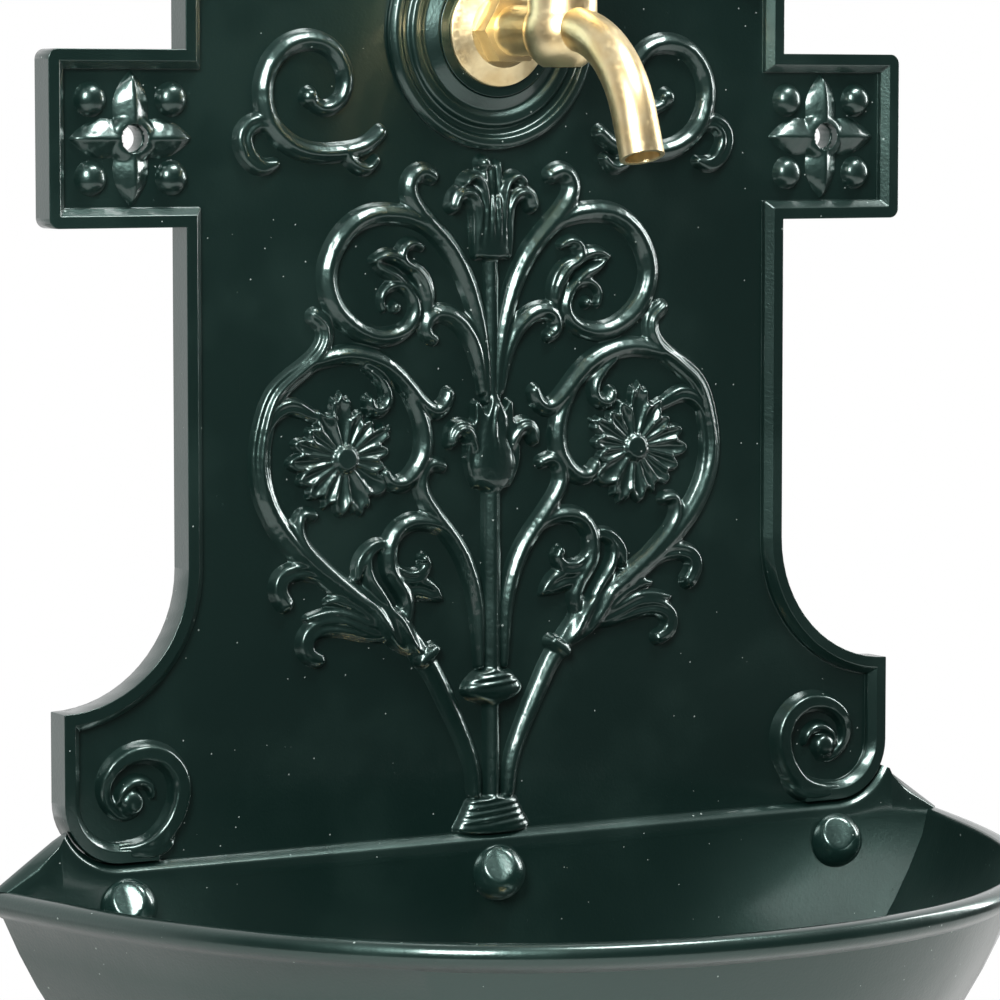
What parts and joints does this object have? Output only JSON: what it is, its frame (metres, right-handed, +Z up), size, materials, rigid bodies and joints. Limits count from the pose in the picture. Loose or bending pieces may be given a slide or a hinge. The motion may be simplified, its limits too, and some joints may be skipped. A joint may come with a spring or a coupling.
{
  "type": "garden fountain",
  "caption": "Wall-hung cast garden fountain: a scroll-relief back plate with a brass bib tap over a half-round basin with a drain and plug.",
  "frame": {"origin": "on the wall plane, midway between the two hanging holes", "axes": "+X to the right seen from the front, +Y into the wall, +Z up"},
  "size_m": [0.44, 0.247, 0.6285],
  "materials": {
    "enamelled_iron": "gloss",
    "enamelled_nut": "gloss",
    "zinc_steel": "satin",
    "brass_body": "polished",
    "brass_plain": "satin",
    "black_rubber": "matte",
    "packing_fibre": "matte",
    "plug_rubber": "matte"
  },
  "bodies": {
    "fountain": {"back_plate": "enamelled_iron", "basin": "enamelled_iron", "basin_bolts": "zinc_steel", "domed_nuts": "enamelled_nut", "tap_body": "brass_body", "tap_flange": "brass_body", "tap_lock_nut": "brass_plain", "bonnet": "brass_body", "gland_nut": "brass_body", "waste_body": "brass_plain", "waste_nut": "brass_plain", "tap_seal": "black_rubber", "bonnet_seal": "black_rubber", "gland_packing": "packing_fibre", "waste_upper_gasket": "black_rubber", "waste_lower_gasket": "black_rubber", "centre_stem": "enamelled_iron", "scroll_left": "enamelled_iron", "scroll_right": "enamelled_iron", "rosettes": "enamelled_iron", "corner_volutes": "enamelled_iron", "tap_ring": "enamelled_iron", "tap_scrolls": "enamelled_iron", "star_bosses": "enamelled_iron", "ear_beads": "enamelled_iron", "pediment_shell": "enamelled_iron"},
    "spindle": {"spindle": "brass_plain", "tap_handle": "brass_body", "handle_screw": "brass_body"},
    "valve": {"valve_carrier": "brass_plain", "tap_washer": "black_rubber", "washer_nut": "brass_plain"},
    "plug": {"basin_plug": "plug_rubber"}
  },
  "joints": [
    {"name": "spindle_turn", "type": "hinge", "parent": "fountain", "child": "spindle", "pos_m": [0, -0.064, 0.095], "axis": [0, 0, 1], "range_deg": [0, 540]},
    {"name": "valve_lift", "type": "slide", "parent": "fountain", "child": "valve", "axis": [0, 0, 1], "range_m": [0, 0.0045]},
    {"name": "plug_lift", "type": "slide", "parent": "fountain", "child": "plug", "axis": [0, 0, 1], "range_m": [0, 0.03]}
  ],
  "couplings": [
    {"joint": "valve_lift", "follows": "spindle_turn", "m_per_rad": 0.00047746}
  ]
}
